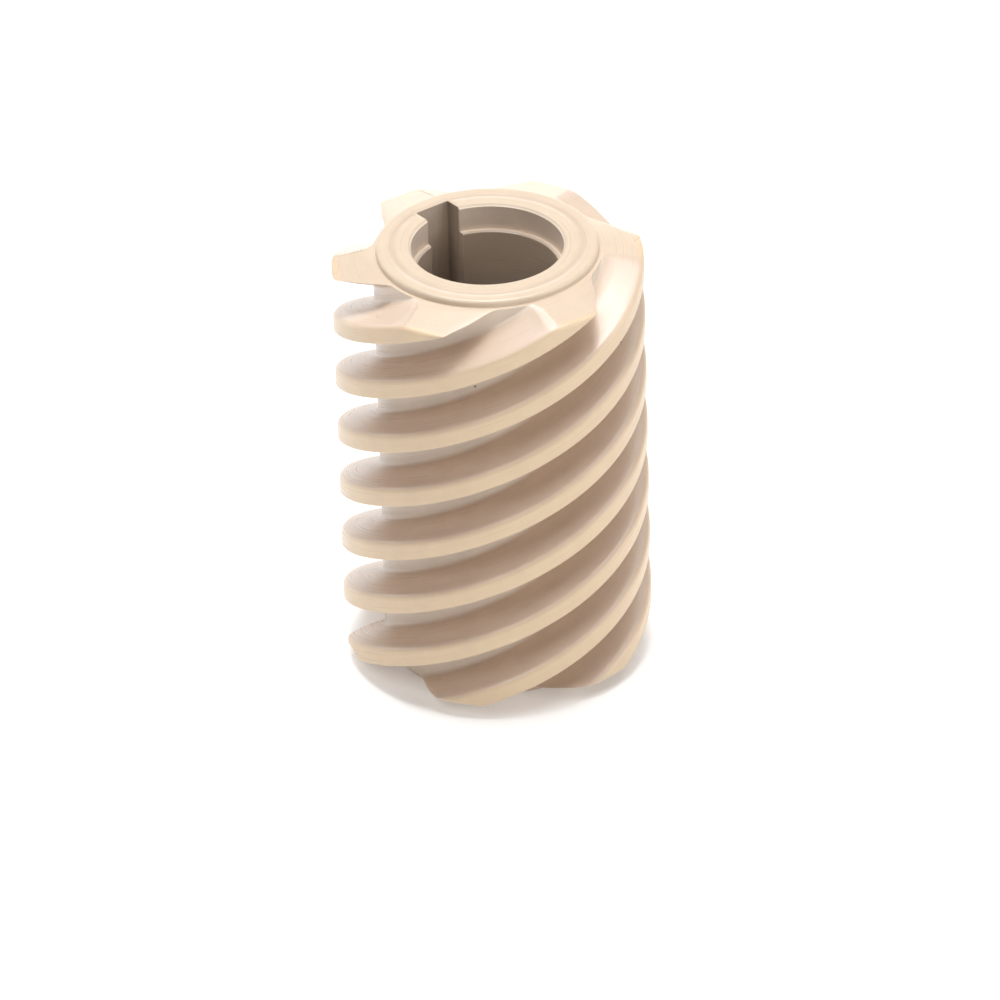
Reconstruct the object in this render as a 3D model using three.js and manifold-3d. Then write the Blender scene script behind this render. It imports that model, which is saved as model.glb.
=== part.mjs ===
// A six-start right-hand worm, moulded and cut in one piece of beige plastic.
// Millimetres, +Z up along the worm's axis, the origin at the middle of the bottom face.
// The keyway opens towards +Y.

import * as THREE from 'three';
import { mergeVertices } from 'three/addons/utils/BufferGeometryUtils.js';
import Module from 'manifold-3d';

// Body
const OVERALL_LENGTH = 71.4;
const HUB_RADIUS = 17.1;
const HUB_STEP = 1.1;

// Thread
const STARTS = 6;
const LEAD = 58.43;
const TIP_RADIUS = 24.0;
const ROOT_RADIUS = 17.65;
const CREST_WIDTH = 2.95;
const FLANK_ANGLE = THREE.MathUtils.degToRad(15.8);
const ROOT_FILLET = 0.8;
const CREST_HEIGHT_AT_X = 5.86;
const END_BEVEL_DROP = 1.4;

// Bore and keyway
const BORE_RADIUS = 11.0;
const COUNTERBORE_RADIUS = 11.75;
const COUNTERBORE_DEPTH = 4.3;
const MOUTH_CHAMFER = 0.35;
const KEYWAY_WIDTH = 6.0;
const KEYWAY_FLOOR = 14.4;

// Fineness of the facets
const TWIST_PER_STEP = THREE.MathUtils.degToRad(11);
const CREST_FACETS = 3;
const FLANK_FACETS = 2;
const ROOT_FACETS = 2;
const BORE_FACETS = 48;
const BLANK_FACETS = 72;

const OVERRUN = 1.0;
const PITCH = LEAD / STARTS;

// Numbers from start up to, and without, end.
function evenly(start, end, count) {
  return Array.from({ length: count }, (_, i) => start + ((end - start) * i) / count);
}

// One tooth cut along the axis, as [axial offset, radius] pairs from the middle of its crest.
// They run from the root below it to the fillet above it, where the next tooth's root begins.
function axialTooth() {
  const crestEdge = CREST_WIDTH / 2;
  const rootCorner = crestEdge + (TIP_RADIUS - ROOT_RADIUS) * Math.tan(FLANK_ANGLE);
  const filletRun = ROOT_FILLET * Math.tan((Math.PI / 2 - FLANK_ANGLE) / 2);
  const filletFoot = rootCorner + filletRun;
  const filletTop = rootCorner - filletRun * Math.sin(FLANK_ANGLE);
  const filletTopRadius = ROOT_RADIUS + filletRun * Math.cos(FLANK_ANGLE);
  const flank = evenly(0, 1, FLANK_FACETS).map((share) => [
    THREE.MathUtils.lerp(filletTop, crestEdge, share),
    THREE.MathUtils.lerp(filletTopRadius, TIP_RADIUS, share),
  ]);
  const root = evenly(filletFoot - PITCH, -filletFoot, ROOT_FACETS).map((offset) => [offset, ROOT_RADIUS]);
  const crest = evenly(-crestEdge, crestEdge, CREST_FACETS).map((offset) => [offset, TIP_RADIUS]);
  const lowerSide = flank.map(([offset, radius]) => [-offset, radius]);
  const upperSide = [...flank].reverse();
  return [
    ...root,
    [-filletFoot, ROOT_RADIUS],
    ...lowerSide,
    ...crest,
    [crestEdge, TIP_RADIUS],
    ...upperSide,
  ];
}

// The outline of the threaded bar where a level plane cuts it at the height of the origin.
function barOutline() {
  const outline = [];
  for (let start = 0; start < STARTS; start += 1) {
    const crestHeight = CREST_HEIGHT_AT_X + start * PITCH;
    for (const [offset, radius] of axialTooth()) {
      const angle = (-(crestHeight + offset) / LEAD) * 2 * Math.PI;
      outline.push(new THREE.Vector2(radius * Math.cos(angle), radius * Math.sin(angle)));
    }
  }
  return outline;
}

// The bar is its own outline pushed along the axis and turned in step with the lead.
function threadedBar() {
  const length = OVERALL_LENGTH + 2 * OVERRUN;
  const steps = Math.ceil((length / LEAD) * ((2 * Math.PI) / TWIST_PER_STEP));
  const shape = new THREE.Shape(barOutline());
  const straight = { depth: length, steps, bevelEnabled: false, curveSegments: 1 };
  const bar = new THREE.ExtrudeGeometry(shape, straight);
  bar.translate(0, 0, -OVERRUN);
  const place = bar.attributes.position;
  const point = new THREE.Vector3();
  const axis = new THREE.Vector3(0, 0, 1);
  for (let i = 0; i < place.count; i += 1) {
    point.fromBufferAttribute(place, i);
    point.applyAxisAngle(axis, (point.z / LEAD) * 2 * Math.PI);
    place.setXYZ(i, point.x, point.y, point.z);
  }
  return bar;
}

// A solid of revolution about +Z, from [radius, height] pairs that start and end on the axis.
function turned(profile, facets) {
  const points = profile.map(([radius, height]) => new THREE.Vector2(radius, height));
  const solid = new THREE.LatheGeometry(points, facets);
  solid.rotateX(Math.PI / 2);
  return solid;
}

// The blank that the worm is turned to: a raised ring at each end, and thread ends
// that fall away from it towards the tips.
function turnedBlank() {
  const slope = END_BEVEL_DROP / (TIP_RADIUS - ROOT_RADIUS);
  const outside = TIP_RADIUS + OVERRUN;
  const endAtOutside = HUB_STEP + slope * (outside - ROOT_RADIUS);
  const lower = [
    [0, 0],
    [HUB_RADIUS, 0],
    [HUB_RADIUS, HUB_STEP],
    [ROOT_RADIUS, HUB_STEP],
    [outside, endAtOutside],
  ];
  const upper = lower.map(([radius, height]) => [radius, OVERALL_LENGTH - height]).reverse();
  return turned([...lower, ...upper], BLANK_FACETS);
}

// What is taken out for the shaft: the bore, the wider recess at each end, and its chamfer.
function boreTool() {
  const mouth = COUNTERBORE_RADIUS + MOUTH_CHAMFER;
  const lower = [
    [0, -OVERRUN],
    [mouth + OVERRUN, -OVERRUN],
    [COUNTERBORE_RADIUS, MOUTH_CHAMFER],
    [COUNTERBORE_RADIUS, COUNTERBORE_DEPTH],
    [BORE_RADIUS, COUNTERBORE_DEPTH],
  ];
  const upper = lower.map(([radius, height]) => [radius, OVERALL_LENGTH - height]).reverse();
  return turned([...lower, ...upper], BORE_FACETS);
}

function keywayTool() {
  const height = OVERALL_LENGTH + 2 * OVERRUN;
  const slot = new THREE.BoxGeometry(KEYWAY_WIDTH, KEYWAY_FLOOR, height);
  slot.translate(0, KEYWAY_FLOOR / 2, OVERALL_LENGTH / 2);
  return slot;
}

const wasm = await Module();
wasm.setup();

function solid(geometry) {
  const bare = geometry.clone();
  bare.deleteAttribute('normal');
  bare.deleteAttribute('uv');
  const merged = mergeVertices(bare);
  const mesh = new wasm.Mesh({
    numProp: 3,
    vertProperties: new Float32Array(merged.attributes.position.array),
    triVerts: new Uint32Array(merged.index.array),
  });
  return new wasm.Manifold(mesh);
}

function toGeometry(manifold) {
  const mesh = manifold.getMesh();
  const geometry = new THREE.BufferGeometry();
  geometry.setAttribute('position', new THREE.BufferAttribute(new Float32Array(mesh.vertProperties), 3));
  geometry.setIndex(new THREE.BufferAttribute(new Uint32Array(mesh.triVerts), 1));
  geometry.computeVertexNormals();
  return geometry;
}

function worm() {
  const blank = solid(threadedBar()).intersect(solid(turnedBlank()));
  const bored = blank.subtract(solid(boreTool())).subtract(solid(keywayTool()));
  const plastic = new THREE.MeshStandardMaterial({ color: 0xd3b698, roughness: 0.55, metalness: 0 });
  const mesh = new THREE.Mesh(toGeometry(bored), plastic);
  mesh.name = 'worm_gear';
  return mesh;
}

const part = new THREE.Group();
part.add(worm());

export default part;
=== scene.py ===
"""A six-start worm in beige engineering plastic: its fine mesh and material, a floor, lamps and a camera."""

from math import asin, atan2, ceil, cos, hypot, pi, radians, sin, sqrt, tan, tau

import bpy
import numpy as np
from mathutils import Matrix, Vector


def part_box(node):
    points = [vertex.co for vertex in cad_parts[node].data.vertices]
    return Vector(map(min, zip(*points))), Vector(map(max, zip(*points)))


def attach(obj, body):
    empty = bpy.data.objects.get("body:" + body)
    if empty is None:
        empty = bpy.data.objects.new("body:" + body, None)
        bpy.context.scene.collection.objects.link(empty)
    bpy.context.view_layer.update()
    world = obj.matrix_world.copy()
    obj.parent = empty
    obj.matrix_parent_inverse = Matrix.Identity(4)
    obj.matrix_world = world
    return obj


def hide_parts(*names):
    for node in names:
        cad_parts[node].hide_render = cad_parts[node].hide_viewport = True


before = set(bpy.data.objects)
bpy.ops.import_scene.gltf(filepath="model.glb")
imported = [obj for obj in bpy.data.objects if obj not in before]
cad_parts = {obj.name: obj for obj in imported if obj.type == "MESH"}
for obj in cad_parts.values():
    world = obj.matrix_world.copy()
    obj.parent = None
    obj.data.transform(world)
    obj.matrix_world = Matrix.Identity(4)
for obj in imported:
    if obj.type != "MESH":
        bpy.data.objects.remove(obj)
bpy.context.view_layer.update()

MM = 0.001
CAD_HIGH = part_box("worm_gear")[1]

# The worm's own sizes. Its length and its tip radius are the frame's.
LENGTH = CAD_HIGH[2]
TIP_RADIUS = CAD_HIGH[1]
ROOT_RADIUS = 17.65 * MM
HUB_RADIUS = 17.1 * MM
HUB_STEP = 1.1 * MM
STARTS = 6
LEAD = 58.43 * MM
PITCH = LEAD / STARTS
CREST_WIDTH = 2.95 * MM
FLANK_ANGLE = radians(15.8)
ROOT_FILLET = 0.8 * MM
CREST_HEIGHT_AT_X = 5.86 * MM
END_BEVEL_DROP = 1.4 * MM
BORE_RADIUS = 11.0 * MM
COUNTERBORE_RADIUS = 11.75 * MM
COUNTERBORE_DEPTH = 4.3 * MM
KEYWAY_WIDTH = 6.0 * MM
KEYWAY_FLOOR = 14.4 * MM

# Edges, most of them too fine for the CAD solid. Each point of the thread's outline gets a share of
# END_ROUND, and no two neighbours of it come closer than LEAST_TURN radians.
CREST_LOWER_ROUND = 0.15 * MM
CREST_UPPER_ROUND = 1.0 * MM
END_ROUND = 0.6 * MM
END_ROUND_FADE = 1.3 * MM
END_ROUND_LEAST = 0.1
LEAST_TURN = 1e-4
HUB_FOOT_FILLET = 0.12 * MM
HUB_RIM_ROUND = 0.6 * MM
MOUTH_CHAMFER = 0.35 * MM
LEDGE_CHAMFER = 0.2 * MM
KEYWAY_CORNER = 0.25 * MM
FACE_GROOVE_RADIUS = 14.7 * MM
FACE_GROOVE_HALF_WIDTH = 0.9 * MM
FACE_GROOVE_DEPTH = 0.15 * MM
FACE_SEAM_RADII = (15.9 * MM, 16.1 * MM)

# Fineness of the mesh
TURN_PER_ROW = radians(3.0)
ROUND_SEGMENTS = 5
HUB_FOOT_SEGMENTS = 3
HUB_RIM_SEGMENTS = 8
FLANK_SEGMENTS = 6
CREST_SEGMENTS = 5
ROOT_SEGMENTS = 6
END_FACE_ROWS = 8
BORE_ARC_SEGMENTS = 160
BORE_WALL_ROWS = 24
RING_FACE_ROWS = 16
SHARP_ANGLE = radians(32)
SAME_PLACE_DIGITS = 9

# What the material reads: a base colour at each point, with painted light and shade in it on some faces,
# and at each face corner the distance across the tool marks
TONE = "tone"
GRAIN = "grain"

# Beige plastic, in linear colour. Some tones hold painted light or shade: the roots, the recess's wall and
# the keyway's floor are lighter as painted light, and the face groove, the bore's middle and the keyway's
# walls and corners are darker as painted shade. A share is how much of DARK_MARK shows at most, and a range
# is the part of a pattern's values that it fades over.
CREST_TONE = (0.71, 0.54, 0.36)
FLANK_TONE = (0.67, 0.53, 0.42)
# Lighter than the flanks: painted light on the roots.
ROOT_PAINTED_LIGHT_TONE = (0.75, 0.64, 0.53)
END_TONE = (0.66, 0.53, 0.40)
# Darker in the ring face's shallow groove: painted shade.
GROOVE_PAINTED_SHADE_TONE = (0.60, 0.47, 0.36)
# Much lighter on the counterbore's wall: painted light.
RECESS_PAINTED_LIGHT_TONE = (0.90, 0.76, 0.63)
BORE_TONE = (0.60, 0.49, 0.39)
# Towards the bore's middle the tones darken: painted shade.
BORE_PAINTED_SHADE_TONE = (0.36, 0.29, 0.23)
BORE_PAINTED_SHADE_DEPTH = 14 * MM
# Lighter on the keyway's floor than on the bore: painted light.
KEYWAY_FLOOR_PAINTED_LIGHT_TONE = (0.76, 0.64, 0.53)
# Darker on the keyway's walls and darkest in its corners: painted shade.
KEYWAY_WALL_PAINTED_SHADE_TONE = (0.55, 0.45, 0.36)
KEYWAY_CORNER_PAINTED_SHADE_TONE = (0.30, 0.24, 0.19)
TONE_BLEND = 0.5 * MM
DARK_MARK = (0.80, 0.78, 0.76, 1)
SPECK_BROWN = (0.12, 0.07, 0.04, 1)
MOTTLE_SHARE = 0.22
MOTTLE_RANGE = (0.35, 0.65)
MARKS_SHARE = 0.05
MARKS_RANGE = (0.4, 0.62)
MARKS_PER_METRE = 3500
MARK_DRIFT = 0.02
MOTTLE_PER_METRE = 260
PORES_PER_METRE = 6000
SPECKS_PER_METRE = 330
MARK_DEPTH = 0.003 * MM
PORE_DEPTH = 0.01 * MM
SPECK_EDGE = (0.04, 0.07)
SPECKS_CHOSEN = (0.93, 0.94)
ROUGHNESS = (0.25, 0.38)
ROUGHNESS_MARKS_RANGE = (0.3, 0.7)
REFRACTION = 1.52

# Floor, backdrop, lamps and camera. A lamp is (name, azimuth from the camera's, elevation, width
# of its disc in degrees, strength).
FLOOR_HALF_WIDTH = 3.0
FLOOR_WHITE = (0.9, 0.9, 0.9, 1)
FLOOR_ROUGHNESS = 0.9
FLOOR_GLOW = 0.2
LAMP_DISTANCE = 1.0
BACKDROP_SEEN = 0.95
BACKDROP_IN_GLOSS = 0.55
LAMPS = (
    ("overhead", 0, 88, 15, 0.8),
    ("top_back", -160, 73, 35, 1.9),
    ("top_right", 90, 73, 35, 1.0),
    ("low_right", 70, 8, 45, 1.35),
    ("back", 180, 8, 30, 0.4),
    ("back_left", -135, 30, 30, 0.5),
    ("front_left", -38, 50, 30, 0.75),
)
CAMERA_AZIMUTH = radians(-35.5)
CAMERA_ELEVATION = radians(32.25)
CAMERA_ROLL = radians(1.72)
CAMERA_DISTANCE = 1.7285
TARGET_RIGHT = 0.78 * MM
TARGET_HEIGHT = LENGTH - 46.4 * MM
VIEW_WIDTH = 155.2 * MM
SENSOR_WIDTH = 36.0


# ---- profiles ----------------------------------------------------------------------------------

def arc(centre, radius, start, end, segments):
    """Points on an arc, both ends included."""
    angles = np.linspace(start, end, segments + 1)
    return [(centre[0] + radius * cos(a), centre[1] + radius * sin(a)) for a in angles]


def half_tooth(crest_round):
    """From the crest's middle out to the root fillet's foot, as (axial offset, radius)."""
    turn = pi / 2 - FLANK_ANGLE
    tip_run = crest_round * tan(turn / 2)
    tip_centre = (CREST_WIDTH / 2 - tip_run, TIP_RADIUS - crest_round)
    root_corner = CREST_WIDTH / 2 + (TIP_RADIUS - ROOT_RADIUS) * tan(FLANK_ANGLE)
    foot = root_corner + ROOT_FILLET * tan(turn / 2)
    root_centre = (foot, ROOT_RADIUS + ROOT_FILLET)
    crest = [(tip_centre[0] * i / CREST_SEGMENTS, TIP_RADIUS) for i in range(CREST_SEGMENTS)]
    tip = arc(tip_centre, crest_round, pi / 2, pi / 2 - turn, ROUND_SEGMENTS)
    fillet = arc(root_centre, ROOT_FILLET, 3 * pi / 2 - turn, 3 * pi / 2, ROUND_SEGMENTS)
    flank = np.linspace(tip[-1], fillet[0], FLANK_SEGMENTS + 1)[1:-1]
    return crest + tip + [tuple(p) for p in flank] + fillet


def tooth_profile():
    """One pitch of the thread cut along the axis: root, lower flank, crest, upper flank."""
    lower = [(-offset, radius) for offset, radius in half_tooth(CREST_LOWER_ROUND)]
    upper = half_tooth(CREST_UPPER_ROUND)
    gap = PITCH - upper[-1][0] + lower[-1][0]
    shares = [i / ROOT_SEGMENTS for i in range(1, ROOT_SEGMENTS)]
    root = [(lower[-1][0] - gap * (1 - share), ROOT_RADIUS) for share in shares]
    return np.array(root + lower[::-1] + upper[1:])


def thread_profile():
    """Axial offsets and radii of all the teeth in turn, with the first point again a lead higher."""
    tooth = tooth_profile()
    offsets = np.concatenate([tooth[:, 0] + CREST_HEIGHT_AT_X + k * PITCH for k in range(STARTS)])
    radii = np.tile(tooth[:, 1], STARTS)
    return np.append(offsets, offsets[0] + LEAD), np.append(radii, radii[0])


def end_depth(radius):
    """How far below the top face the thread's end lies at this radius."""
    slope = END_BEVEL_DROP / (TIP_RADIUS - ROOT_RADIUS)
    return HUB_STEP + slope * np.maximum(np.asarray(radius) - ROOT_RADIUS, 0.0)


def hub_profile():
    """(radius, depth below the end) from the thread's end surface, up the ring and in over its rim."""
    foot = arc((HUB_RADIUS + HUB_FOOT_FILLET, HUB_STEP - HUB_FOOT_FILLET), HUB_FOOT_FILLET, pi / 2, pi,
               HUB_FOOT_SEGMENTS)
    rim = arc((HUB_RADIUS - HUB_RIM_ROUND, HUB_RIM_ROUND), HUB_RIM_ROUND, 0, -pi / 2, HUB_RIM_SEGMENTS)
    return foot + rim + [(FACE_SEAM_RADII[1], 0.0)]


def face_depth(radius):
    """How deep the shallow turned groove in the ring's face is at this radius."""
    step = np.clip((np.asarray(radius) - FACE_GROOVE_RADIUS) / FACE_GROOVE_HALF_WIDTH, -1.0, 1.0)
    return FACE_GROOVE_DEPTH * (1 + np.cos(pi * step)) / 2


def bore_outline(radius):
    """The bore with its keyway, clockwise from the keyway's left wall. Every outline has as many points."""
    half = KEYWAY_WIDTH / 2
    wall_foot = sqrt((COUNTERBORE_RADIUS + MOUTH_CHAMFER) ** 2 - half ** 2)
    gap = asin(half / radius)
    bend = KEYWAY_CORNER
    left = [(-half, wall_foot)] + arc((bend - half, KEYWAY_FLOOR - bend), bend, pi, pi / 2, ROUND_SEGMENTS)
    right = arc((half - bend, KEYWAY_FLOOR - bend), bend, pi / 2, 0, ROUND_SEGMENTS) + [(half, wall_foot)]
    round_wall = arc((0, 0), radius, pi / 2 - gap, gap - 3 * pi / 2, BORE_ARC_SEGMENTS)
    return np.array(left + right + round_wall)


def bore_layers():
    """(radius, height) of each outline of the bore, from the top face down to the bottom one."""
    ledge = LENGTH - COUNTERBORE_DEPTH
    upper = [
        (COUNTERBORE_RADIUS + MOUTH_CHAMFER, LENGTH),
        (COUNTERBORE_RADIUS, LENGTH - MOUTH_CHAMFER),
        (COUNTERBORE_RADIUS, ledge),
        (BORE_RADIUS + LEDGE_CHAMFER, ledge),
        (BORE_RADIUS, ledge - LEDGE_CHAMFER),
    ]
    lower = [(radius, LENGTH - height) for radius, height in upper[::-1]]
    heights = np.linspace(upper[-1][1], lower[0][1], BORE_WALL_ROWS + 1)[1:-1]
    return upper + [(BORE_RADIUS, height) for height in heights] + lower


# ---- tones -------------------------------------------------------------------------------------

def between(first, second, share):
    """A tone for each share from 0, the first, to 1, the second."""
    share = np.clip(np.atleast_1d(share), 0.0, 1.0)[:, None]
    return np.asarray(first) * (1 - share) + np.asarray(second) * share


def thread_tones(radii):
    # The roots are lighter than the flanks as painted light; the crests get a warmer tone.
    to_flank = (radii - ROOT_RADIUS) / TONE_BLEND
    to_crest = (radii - TIP_RADIUS) / TONE_BLEND + 1
    tones = between(ROOT_PAINTED_LIGHT_TONE, FLANK_TONE, to_flank)
    crest = np.clip(to_crest, 0.0, 1.0)[:, None]
    return tones * (1 - crest) + np.asarray(CREST_TONE) * crest


def face_tones(radii):
    # Darker towards the groove's deepest line: painted shade.
    return between(END_TONE, GROOVE_PAINTED_SHADE_TONE, face_depth(radii) / FACE_GROOVE_DEPTH)


def bore_tones_with_painted_light_and_shade(x, y, height):
    """Painted light on the recess's wall and the keyway's floor, and painted shade that deepens down the bore
    and on the keyway's walls, darkest in the keyway's corners.
    """
    radii = np.hypot(x, y)
    depth = min(height, LENGTH - height) - COUNTERBORE_DEPTH
    # The bore and the keyway's floor darken with depth: painted shade.
    bore = between(BORE_TONE, BORE_PAINTED_SHADE_TONE, depth / BORE_PAINTED_SHADE_DEPTH)
    floor = between(KEYWAY_FLOOR_PAINTED_LIGHT_TONE, BORE_PAINTED_SHADE_TONE, depth / BORE_PAINTED_SHADE_DEPTH)
    round_wall = np.where((radii > BORE_RADIUS + TONE_BLEND)[:, None], RECESS_PAINTED_LIGHT_TONE, bore)
    # The keyway's walls darken towards the corners at its floor: painted shade.
    to_corner = (y - BORE_RADIUS) / (KEYWAY_FLOOR - KEYWAY_CORNER - BORE_RADIUS)
    to_floor = (KEYWAY_WIDTH / 2 - np.abs(x)) / KEYWAY_CORNER
    keyway = between(between(KEYWAY_WALL_PAINTED_SHADE_TONE, KEYWAY_CORNER_PAINTED_SHADE_TONE, to_corner), floor, to_floor)
    in_keyway = radii > COUNTERBORE_RADIUS + MOUTH_CHAMFER / 2
    return np.where(in_keyway[:, None], keyway, round_wall)


# ---- mesh --------------------------------------------------------------------------------------

class Skin:
    """A closed mesh put together from rows of points that all run clockwise seen from above."""

    def __init__(self):
        self.numbers = {}
        self.points = []
        self.tones = []
        self.faces = []
        self.grains = []

    def row(self, x, y, z, tones):
        """Adds a row and returns its points' numbers, the first one again at the end.

        Points in the same place are one point, with the tone that was given first.
        """
        count = len(x)
        numbers = []
        for *place, tone in zip(x, y, np.broadcast_to(z, count), np.broadcast_to(tones, (count, 3))):
            key = tuple(round(value, SAME_PLACE_DIGITS) for value in place)
            if key not in self.numbers:
                self.numbers[key] = len(self.points)
                self.points.append(place)
                self.tones.append((*tone, 1.0))
            numbers.append(self.numbers[key])
        return numbers + numbers[:1]

    def face(self, corners, grains):
        """Adds a face without the corners that repeat a neighbour."""
        kept = [i for i in range(len(corners)) if corners[i] != corners[i - 1]]
        if len(kept) > 2:
            self.faces.append([corners[i] for i in kept])
            self.grains.extend(grains[i] for i in kept)

    def strip(self, before, after, grain_before, grain_after):
        """Joins two rows of one length. The outside is on the left, walking from before to after."""
        for i in range(len(before) - 1):
            corners = (before[i + 1], before[i], after[i], after[i + 1])
            self.face(corners, (grain_before[i + 1], grain_before[i], grain_after[i], grain_after[i + 1]))

    def turns(self, row):
        """The angle of each point of a row, without a jump."""
        return np.unwrap([atan2(self.points[n][1], self.points[n][0]) for n in row])

    def flat_ring(self, before, after):
        """Fills the flat ring between two rows with different numbers of points."""
        turn_before = self.turns(before)
        apart = (self.turns(after[:-1]) - turn_before[0] + pi) % tau - pi
        start = int(np.argmin(np.abs(apart)))
        after = after[start:-1] + after[:start + 1]
        turn_after = self.turns(after)
        turn_after += tau * round((turn_before[0] - turn_after[0]) / tau)
        i = j = 0
        while i < len(before) - 1 or j < len(after) - 1:
            before_done = i == len(before) - 1
            after_done = j == len(after) - 1
            step_after = before_done or (not after_done and turn_after[j + 1] > turn_before[i + 1])
            if step_after:
                corners = (before[i], after[j], after[j + 1])
                j += 1
            else:
                corners = (before[i + 1], before[i], after[j])
                i += 1
            self.face(corners, [hypot(*self.points[corner][:2]) for corner in corners])

    def mesh(self, name):
        data = bpy.data.meshes.new(name)
        data.from_pydata(self.points, [], self.faces)
        grain = data.attributes.new(GRAIN, "FLOAT", "CORNER")
        grain.data.foreach_set("value", np.array(self.grains, dtype=np.float32))
        tone = data.attributes.new(TONE, "FLOAT_COLOR", "POINT")
        tone.data.foreach_set("color", np.array(self.tones, dtype=np.float32).ravel())
        data.polygons.foreach_set("use_smooth", [True] * len(data.polygons))
        data.set_sharp_from_angle(angle=SHARP_ANGLE)
        return data


def in_order(angles):
    """Falling angles, with those that overtake a neighbour put back halfway between the ones around."""
    steps = LEAST_TURN * np.arange(len(angles))
    level = angles + steps
    from_start = np.minimum.accumulate(level)
    from_end = np.maximum.accumulate(level[::-1])[::-1]
    return (from_start + from_end) / 2 - steps


def thread_row(offsets, radii, heights, inset):
    """The thread's outline at each point's own height, moved into the solid by inset, as x, y."""
    angles = tau * (heights - offsets) / LEAD
    x, y = radii * np.cos(angles), radii * np.sin(angles)
    along = np.stack([np.roll(x, -1) - np.roll(x, 1), np.roll(y, -1) - np.roll(y, 1)])
    along /= np.hypot(*along)
    x, y = x + inset * along[1], y - inset * along[0]
    reach = np.hypot(x, y)
    angles = in_order(np.unwrap(np.arctan2(y, x)))
    return reach * np.cos(angles), reach * np.sin(angles)


def end_round_share(offsets, radii):
    """How much of END_ROUND each point gets: little at the root and at the crest's sharp lower edge."""
    from_crest = (offsets - CREST_HEIGHT_AT_X + PITCH / 2) % PITCH - PITCH / 2
    from_edge = np.hypot(from_crest + CREST_WIDTH / 2, radii - TIP_RADIUS)
    nearest = np.minimum(radii - ROOT_RADIUS, from_edge)
    return np.clip(nearest / END_ROUND_FADE, END_ROUND_LEAST, 1.0)


def end_round_rows(offsets, radii, top):
    """The rows that roll the thread's surface over into its end surface, the thread's own first."""
    share = end_round_share(offsets, radii)
    rows = []
    for turn in np.linspace(0, pi / 2, ROUND_SEGMENTS + 1):
        inset = END_ROUND * share * (1 - cos(turn))
        reach = np.hypot(*thread_row(offsets, radii, end_depth(radii), inset))
        depth = end_depth(reach) + END_ROUND * share * (1 - sin(turn))
        heights = LENGTH - depth if top else depth
        rows.append((*thread_row(offsets, radii, heights, inset), heights))
    return rows


def add_thread(skin):
    """The thread's surface. Returns its lowest and its highest row."""
    offsets, radii = thread_profile()
    across = np.concatenate([[0.0], np.cumsum(np.hypot(np.diff(offsets), np.diff(radii)))])
    offsets, radii = offsets[:-1], radii[:-1]
    bottom = end_round_rows(offsets, radii, top=False)[::-1]
    top = end_round_rows(offsets, radii, top=True)
    low, high = bottom[-1][2], top[0][2]
    middle = []
    for share in np.linspace(0, 1, ceil(LENGTH / LEAD * tau / TURN_PER_ROW) + 1)[1:-1]:
        heights = low + (high - low) * share
        middle.append((*thread_row(offsets, radii, heights, 0.0), heights))
    rows = bottom + middle + top
    tones = thread_tones(radii)
    numbers = [skin.row(*row, tones) for row in rows]
    for before, after in zip(numbers, numbers[1:]):
        skin.strip(before, after, across, across)
    return numbers[0], numbers[-1]


def end_levels(edge_radii):
    """(radius, depth) of each row of an end surface, from the thread's edge in to the ring's face."""
    hub = hub_profile()
    levels = []
    for share in np.linspace(0, 1, END_FACE_ROWS + 1)[1:-1]:
        radii = edge_radii + (hub[0][0] - edge_radii) * share
        levels.append((radii, end_depth(radii)))
    return levels + [(np.full(len(edge_radii), radius), depth) for radius, depth in hub]


def add_end(skin, edge, top):
    """The thread's end surface and the ring as far as its face. Returns the innermost row."""
    places = np.array([skin.points[n] for n in edge[:-1]])
    edge_radii = np.hypot(places[:, 0], places[:, 1])
    turns = np.arctan2(places[:, 1], places[:, 0])
    rows = [edge]
    grains = [np.append(edge_radii, edge_radii[0]) + HUB_STEP]
    for radii, depth in end_levels(edge_radii):
        heights = LENGTH - depth if top else depth
        rows.append(skin.row(radii * np.cos(turns), radii * np.sin(turns), heights, END_TONE))
        across = radii + depth
        grains.append(np.append(across, across[0]))
    for outer in range(len(rows) - 1):
        before, after = (outer, outer + 1) if top else (outer + 1, outer)
        skin.strip(rows[before], rows[after], grains[before], grains[after])
    return rows[-1]


def face_rows(skin, top):
    """The ring's face from the bore's mouth out to its seam with the rest. Returns its outermost row."""
    x, y = bore_outline(COUNTERBORE_RADIUS + MOUTH_CHAMFER).T
    mouth = np.hypot(x, y)
    turns = np.unwrap(np.arctan2(y, x))
    rows = []
    grains = []
    for share in np.linspace(0, 1, RING_FACE_ROWS + 1):
        radii = mouth + (FACE_SEAM_RADII[0] - mouth) * share
        heights = LENGTH - face_depth(radii) if top else face_depth(radii)
        rows.append(skin.row(radii * np.cos(turns), radii * np.sin(turns), heights, face_tones(radii)))
        grains.append(np.append(radii, radii[0]))
    for i in range(RING_FACE_ROWS):
        before, after = (i + 1, i) if top else (i, i + 1)
        skin.strip(rows[before], rows[after], grains[before], grains[after])
    return rows[-1]


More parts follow.
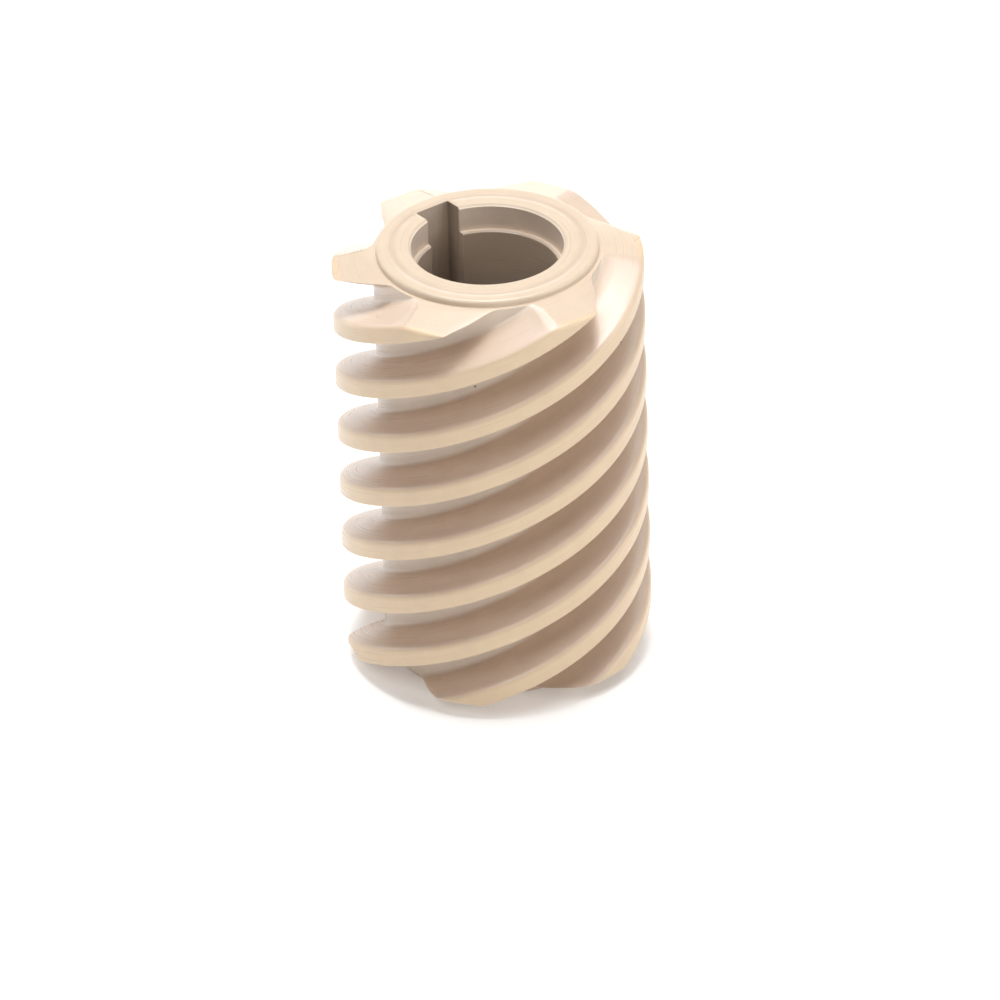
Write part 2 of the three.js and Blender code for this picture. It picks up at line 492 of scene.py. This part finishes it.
def add_bore(skin):
    """The bore, its recesses and its keyway. Marks run round the bore, and lengthwise in the keyway."""
    wall_start = len(bore_outline(BORE_RADIUS)) - BORE_ARC_SEGMENTS - 1
    rows = []
    round_grains = []
    slot_grains = []
    for radius, height in bore_layers():
        x, y = bore_outline(radius).T
        heights = np.full(len(x), height)
        if height == LENGTH:
            heights -= face_depth(np.hypot(x, y))
        if height == 0.0:
            heights += face_depth(np.hypot(x, y))
        rows.append(skin.row(x, y, heights, bore_tones_with_painted_light_and_shade(x, y, height)))
        x, y = np.append(x, x[0]), np.append(y, y[0])
        round_grains.append(np.full(len(x), height - radius))
        slot_grains.append(np.concatenate([[0.0], np.cumsum(np.hypot(np.diff(x), np.diff(y)))]))
    wall = slice(wall_start, -1)
    slots = (slice(0, wall_start + 1), slice(-2, None))
    for i in range(len(rows) - 1):
        skin.strip(rows[i][wall], rows[i + 1][wall], round_grains[i][wall], round_grains[i + 1][wall])
        for part in slots:
            skin.strip(rows[i][part], rows[i + 1][part], slot_grains[i][part], slot_grains[i + 1][part])


def worm_mesh():
    skin = Skin()
    thread_bottom, thread_top = add_thread(skin)
    ring_top = add_end(skin, thread_top, top=True)
    ring_bottom = add_end(skin, thread_bottom, top=False)
    face_top = face_rows(skin, top=True)
    face_bottom = face_rows(skin, top=False)
    add_bore(skin)
    skin.flat_ring(ring_top, face_top)
    skin.flat_ring(face_bottom, ring_bottom)
    return skin.mesh("worm")


# ---- material ----------------------------------------------------------------------------------

class Tree:
    """A material's node tree, with short calls for the nodes used here."""

    def __init__(self, material):
        material.use_nodes = True
        self.tree = material.node_tree
        self.shader = self.tree.nodes["Principled BSDF"]

    def link(self, source, target):
        self.tree.links.new(source, target)

    def node(self, kind, inputs=(), **settings):
        node = self.tree.nodes.new(kind)
        for name, value in settings.items():
            setattr(node, name, value)
        for name, value in dict(inputs).items():
            if isinstance(value, bpy.types.NodeSocket):
                self.link(value, node.inputs[name])
            else:
                node.inputs[name].default_value = value
        return node

    def noise(self, place, scale, detail=2.0, roughness=0.5):
        inputs = {"Vector": place, "Scale": scale, "Detail": detail, "Roughness": roughness}
        return self.node("ShaderNodeTexNoise", inputs).outputs["Fac"]

    def remap(self, value, low, high, to_low=0.0, to_high=1.0):
        inputs = {"Value": value, "From Min": low, "From Max": high, "To Min": to_low, "To Max": to_high}
        return self.node("ShaderNodeMapRange", inputs, clamp=True).outputs["Result"]

    def blend(self, amount, first, second, mode="MIX"):
        node = self.node("ShaderNodeMix", data_type="RGBA", blend_type=mode)
        for socket, value in zip((node.inputs[0], node.inputs[6], node.inputs[7]), (amount, first, second)):
            if isinstance(value, bpy.types.NodeSocket):
                self.link(value, socket)
            else:
                socket.default_value = value
        return node.outputs[2]

    def bump(self, height, depth, under=None):
        inputs = {"Height": height, "Distance": depth, "Strength": 1.0}
        if under is not None:
            inputs["Normal"] = under
        return self.node("ShaderNodeBump", inputs).outputs["Normal"]


def plastic():
    """Natural beige plastic: soft mottling, tool marks along each cut surface, and a few dark specks."""
    material = bpy.data.materials.new("beige_plastic")
    tree = Tree(material)
    across = tree.node("ShaderNodeAttribute", attribute_name=GRAIN).outputs["Fac"]
    tone = tree.node("ShaderNodeAttribute", attribute_name=TONE).outputs["Color"]
    place = tree.node("ShaderNodeTexCoord").outputs["Object"]

    along = tree.node("ShaderNodeVectorMath", {0: place, 3: MARK_DRIFT}, operation="SCALE").outputs[0]
    grain = tree.node("ShaderNodeVectorMath", {0: across, 1: along}, operation="ADD").outputs[0]
    marks = tree.noise(grain, MARKS_PER_METRE, detail=3.0)
    mottle = tree.noise(place, MOTTLE_PER_METRE, detail=4.0, roughness=0.6)
    pores = tree.noise(place, PORES_PER_METRE, detail=2.0)

    colour = tree.blend(tree.remap(mottle, *MOTTLE_RANGE, 0.0, MOTTLE_SHARE), tone, DARK_MARK, "MULTIPLY")
    colour = tree.blend(tree.remap(marks, *MARKS_RANGE, 0.0, MARKS_SHARE), colour, DARK_MARK, "MULTIPLY")
    cells = tree.node("ShaderNodeTexVoronoi", {"Vector": place, "Scale": SPECKS_PER_METRE, "Randomness": 1.0})
    near = tree.remap(cells.outputs["Distance"], *SPECK_EDGE, 1.0, 0.0)
    chosen = tree.node("ShaderNodeSeparateColor", {"Color": cells.outputs["Color"]}).outputs[0]
    rare = tree.remap(chosen, *SPECKS_CHOSEN)
    speck = tree.node("ShaderNodeMath", {0: near, 1: rare}, operation="MULTIPLY").outputs[0]
    colour = tree.blend(speck, colour, SPECK_BROWN)
    tree.link(colour, tree.shader.inputs["Base Color"])

    roughness = tree.remap(marks, *ROUGHNESS_MARKS_RANGE, *ROUGHNESS)
    tree.link(roughness, tree.shader.inputs["Roughness"])
    normal = tree.bump(marks, MARK_DEPTH)
    normal = tree.bump(pores, PORE_DEPTH, normal)
    tree.link(normal, tree.shader.inputs["Normal"])
    tree.shader.inputs["IOR"].default_value = REFRACTION
    return material


# ---- setting -----------------------------------------------------------------------------------

def add_floor():
    half = FLOOR_HALF_WIDTH
    data = bpy.data.meshes.new("floor")
    corners = [(-half, -half, 0), (half, -half, 0), (half, half, 0), (-half, half, 0)]
    data.from_pydata(corners, [], [(0, 1, 2, 3)])
    floor = bpy.data.objects.new("floor", data)
    bpy.context.collection.objects.link(floor)
    material = bpy.data.materials.new("floor")
    tree = Tree(material)
    tree.shader.inputs["Base Color"].default_value = FLOOR_WHITE
    tree.shader.inputs["Roughness"].default_value = FLOOR_ROUGHNESS
    tree.shader.inputs["Emission Color"].default_value = FLOOR_WHITE
    tree.shader.inputs["Emission Strength"].default_value = FLOOR_GLOW
    data.materials.append(material)


def add_lamp(name, place, width, strength):
    """A distant round softbox that looks at the worm."""
    data = bpy.data.lights.new(name, "SUN")
    data.angle = width
    data.energy = strength
    lamp = bpy.data.objects.new(name, data)
    lamp.location = place
    aim = Vector((0, 0, LENGTH / 2)) - lamp.location
    lamp.rotation_euler = aim.to_track_quat("-Z", "Y").to_euler()
    bpy.context.collection.objects.link(lamp)


def around(azimuth, elevation, distance):
    """A place seen from the worm's middle; azimuth 0 is on the -Y side, and it grows towards +X."""
    level = distance * cos(elevation)
    return Vector((level * sin(azimuth), -level * cos(azimuth), LENGTH / 2 + distance * sin(elevation)))


def add_backdrop():
    """A pale surround that shows behind the floor and in the gloss, and adds no light of its own."""
    world = bpy.data.worlds.new("studio")
    bpy.context.scene.world = world
    world.use_nodes = True
    nodes = world.node_tree.nodes
    background = nodes["Background"]
    background.inputs["Color"].default_value = (1, 1, 1, 1)
    rays = nodes.new("ShaderNodeLightPath")
    seen = nodes.new("ShaderNodeMath")
    seen.operation = "MULTIPLY"
    seen.inputs[1].default_value = BACKDROP_SEEN
    both = nodes.new("ShaderNodeMath")
    both.operation = "MULTIPLY_ADD"
    both.inputs[1].default_value = BACKDROP_IN_GLOSS
    world.node_tree.links.new(rays.outputs["Is Camera Ray"], seen.inputs[0])
    world.node_tree.links.new(rays.outputs["Is Glossy Ray"], both.inputs[0])
    world.node_tree.links.new(seen.outputs[0], both.inputs[2])
    world.node_tree.links.new(both.outputs[0], background.inputs["Strength"])


def add_lamps():
    for name, azimuth, elevation, width, strength in LAMPS:
        place = around(CAMERA_AZIMUTH + radians(azimuth), radians(elevation), LAMP_DISTANCE)
        add_lamp(name, place, radians(width), strength)


def add_camera():
    """A long lens looking down at the worm, rolled so that the worm's top leans a little to the left."""
    level_right = Vector((cos(CAMERA_AZIMUTH), sin(CAMERA_AZIMUTH), 0))
    level_ahead = Vector((-sin(CAMERA_AZIMUTH), cos(CAMERA_AZIMUTH), 0))
    ahead = level_ahead * cos(CAMERA_ELEVATION) - Vector((0, 0, sin(CAMERA_ELEVATION)))
    raised = level_right.cross(ahead)
    right = level_right * cos(CAMERA_ROLL) - raised * sin(CAMERA_ROLL)
    up = level_right * sin(CAMERA_ROLL) + raised * cos(CAMERA_ROLL)
    target = level_right * TARGET_RIGHT + Vector((0, 0, TARGET_HEIGHT))
    place = target - ahead * CAMERA_DISTANCE
    data = bpy.data.cameras.new("camera")
    data.sensor_width = SENSOR_WIDTH
    data.lens = SENSOR_WIDTH * CAMERA_DISTANCE / VIEW_WIDTH
    camera = bpy.data.objects.new("camera", data)
    camera.matrix_world = Matrix((
        (right.x, up.x, -ahead.x, place.x),
        (right.y, up.y, -ahead.y, place.y),
        (right.z, up.z, -ahead.z, place.z),
        (0, 0, 0, 1),
    ))
    bpy.context.collection.objects.link(camera)
    bpy.context.scene.camera = camera


# ---- the scene ---------------------------------------------------------------------------------

add_camera()
add_backdrop()
add_lamps()
add_floor()
bpy.context.scene.view_settings.view_transform = "Standard"

worm = bpy.data.objects.new("worm", worm_mesh())
bpy.context.collection.objects.link(worm)
worm.data.materials.append(plastic())
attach(worm, "root")
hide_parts("worm_gear")
